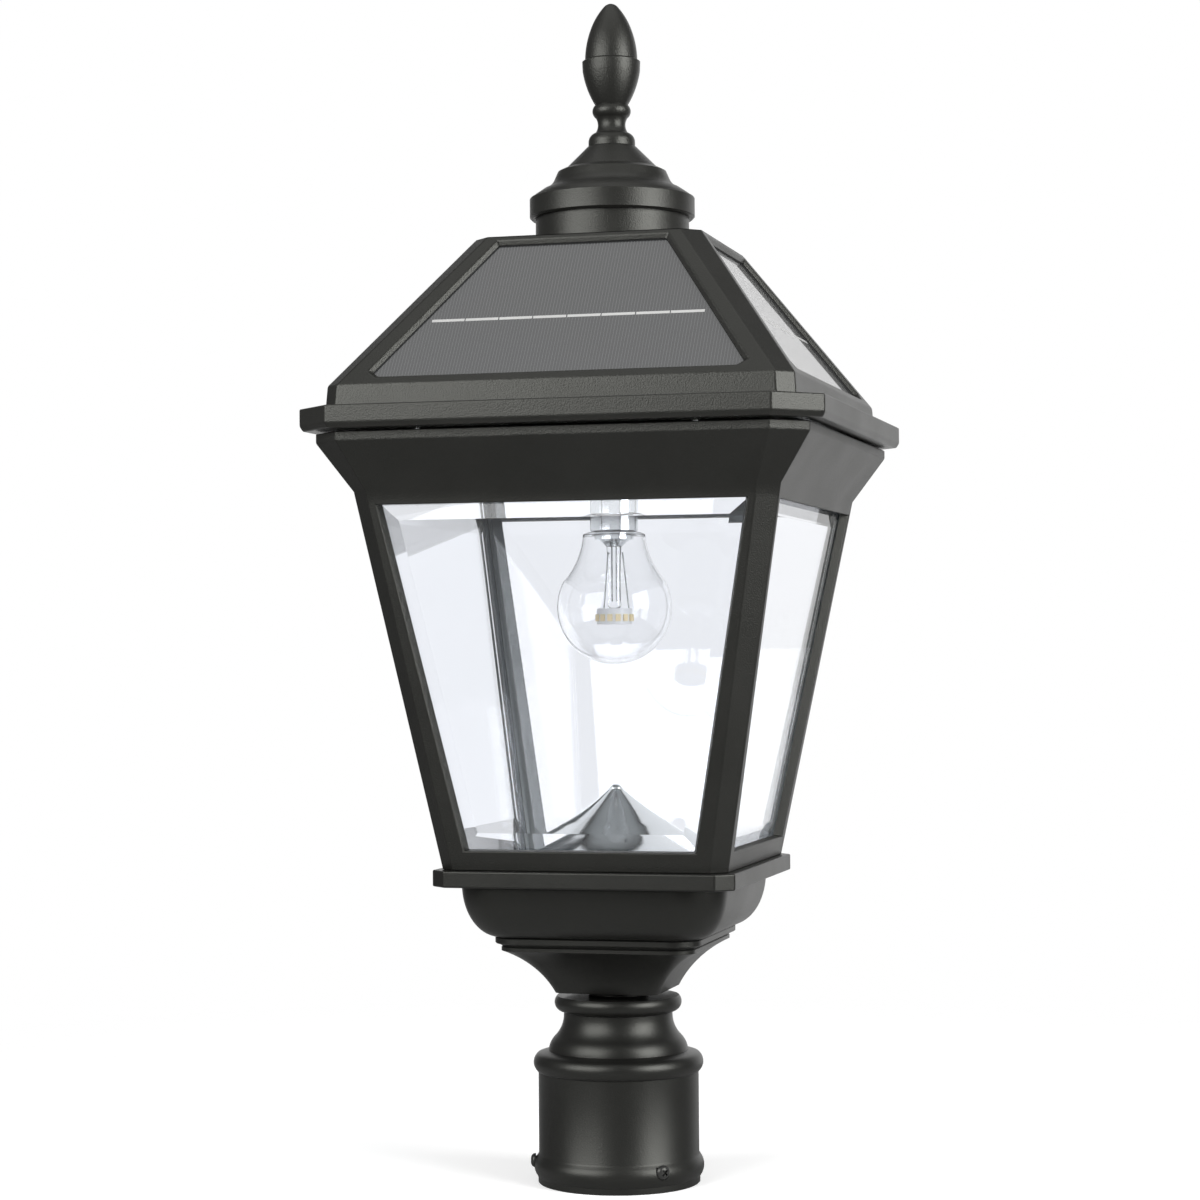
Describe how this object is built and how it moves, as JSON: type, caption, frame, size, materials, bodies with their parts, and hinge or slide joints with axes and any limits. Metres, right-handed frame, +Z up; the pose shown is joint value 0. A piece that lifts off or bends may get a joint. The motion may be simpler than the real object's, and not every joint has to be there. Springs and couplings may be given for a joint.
{
  "type": "post top lantern",
  "caption": "Square tapered post top lantern with bevelled glass, solar panels in its hipped roof, a clear lamp, an urn finial and a round pole fitter.",
  "frame": {"origin": "centre of the pole fitter's mouth, at the lowest level of the lantern", "axes": "+Z up along the pole; the front glass faces -Y; +X to the right seen from the front"},
  "size_m": [0.265, 0.265, 0.6143],
  "materials": {
    "black_coat": "satin black powder coat over cast aluminium",
    "black_screw": "black-coated steel screw",
    "zinc_steel": "zinc-plated steel",
    "satin_steel": "satin nickel-plated sleeve",
    "mirror_sheet": "polished aluminium sheet",
    "pane_glass": "clear bevelled plate glass",
    "bulb_clear": "clear blown glass",
    "stem_clear": "clear glass rod",
    "solar_cell": "dark silicon cells under a clear laminate",
    "seal_foam": "closed-cell foam",
    "black_moulding": "matt moulded plastic",
    "white_ring": "white ceramic-filled plastic",
    "phosphor": "yellow phosphor gel",
    "cell_wrap": "shrink-wrapped battery cell",
    "board_green": "solder-masked board",
    "board_black": "moulded components"
  },
  "bodies": {
    "lantern": {"base_casting": "black_coat", "cage": "black_coat", "cage_screws": "zinc_steel", "fitter": "black_coat", "glass_clip_screws": "zinc_steel", "glass_clips": "zinc_steel", "glass_pane_back": "pane_glass", "glass_pane_front": "pane_glass", "glass_pane_left": "pane_glass", "glass_pane_right": "pane_glass", "lower_tube_nut": "zinc_steel", "lower_tube_washer": "zinc_steel", "mirror_cone": "mirror_sheet", "mirror_cone_screws": "zinc_steel", "neck_spacer": "black_coat", "threaded_tube": "zinc_steel", "tray": "black_coat", "upper_tube_nut": "zinc_steel", "upper_tube_washer": "zinc_steel"},
    "roof": {"roof_shell": "black_coat", "panel_seals": "seal_foam", "crown_drum": "black_coat", "crown_cap": "black_coat", "crown_stud": "zinc_steel", "crown_washer": "zinc_steel", "crown_nut": "zinc_steel", "ceiling_plate": "black_moulding", "ceiling_screws": "black_screw", "lamp_socket": "black_moulding", "battery_cells": "cell_wrap", "battery_holder": "black_moulding", "circuit_board": "board_green", "board_posts": "black_moulding", "board_parts": "board_black", "switch_housing": "black_moulding", "solar_panel_front": "solar_cell", "solar_panel_right": "solar_cell", "solar_panel_back": "solar_cell", "solar_panel_left": "solar_cell"},
    "bulb": {"bulb_sleeve": "satin_steel", "bulb_glass": "bulb_clear", "bulb_stem_collar": "satin_steel", "bulb_stem": "stem_clear", "bulb_light_ring": "white_ring", "bulb_light_chips": "phosphor", "bulb_ring_wires": "satin_steel"},
    "finial": {"finial": "black_coat"},
    "switch_knob": {"switch_knob": "black_moulding"},
    "clamp_screw_1": {"clamp_screw_1": "black_screw"},
    "clamp_screw_2": {"clamp_screw_2": "black_screw"},
    "clamp_screw_3": {"clamp_screw_3": "black_screw"},
    "lock_screw_left": {"lock_screw_left": "black_screw"},
    "lock_screw_right": {"lock_screw_right": "black_screw"}
  },
  "joints": [
    {"name": "roof_lift", "type": "slide", "parent": "lantern", "child": "roof", "axis": [0, 0, 1], "range_m": [0, 0.15]},
    {"name": "bulb_turn", "type": "hinge", "parent": "roof", "child": "bulb", "pos_m": [0, 0, 0.36], "axis": [0, 0, 1], "continuous": true},
    {"name": "finial_turn", "type": "hinge", "parent": "roof", "child": "finial", "pos_m": [0, 0, 0.55], "axis": [0, 0, 1], "continuous": true},
    {"name": "switch_slide", "type": "slide", "parent": "roof", "child": "switch_knob", "axis": [1, 0, 0], "range_m": [0, 0.004]},
    {"name": "clamp_screw_1_travel", "type": "slide", "parent": "lantern", "child": "clamp_screw_1", "axis": [0.7071, -0.7071, 0], "range_m": [-0.0004, 0.006]},
    {"name": "clamp_screw_2_travel", "type": "slide", "parent": "lantern", "child": "clamp_screw_2", "axis": [0.2588, 0.9659, 0], "range_m": [-0.0004, 0.006]},
    {"name": "clamp_screw_3_travel", "type": "slide", "parent": "lantern", "child": "clamp_screw_3", "axis": [-0.9659, -0.2588, 0], "range_m": [-0.0004, 0.006]},
    {"name": "lock_screw_left_travel", "type": "slide", "parent": "lantern", "child": "lock_screw_left", "axis": [-1, 0, 0], "range_m": [0, 0.006]},
    {"name": "lock_screw_right_travel", "type": "slide", "parent": "lantern", "child": "lock_screw_right", "axis": [1, 0, 0], "range_m": [0, 0.006]}
  ]
}
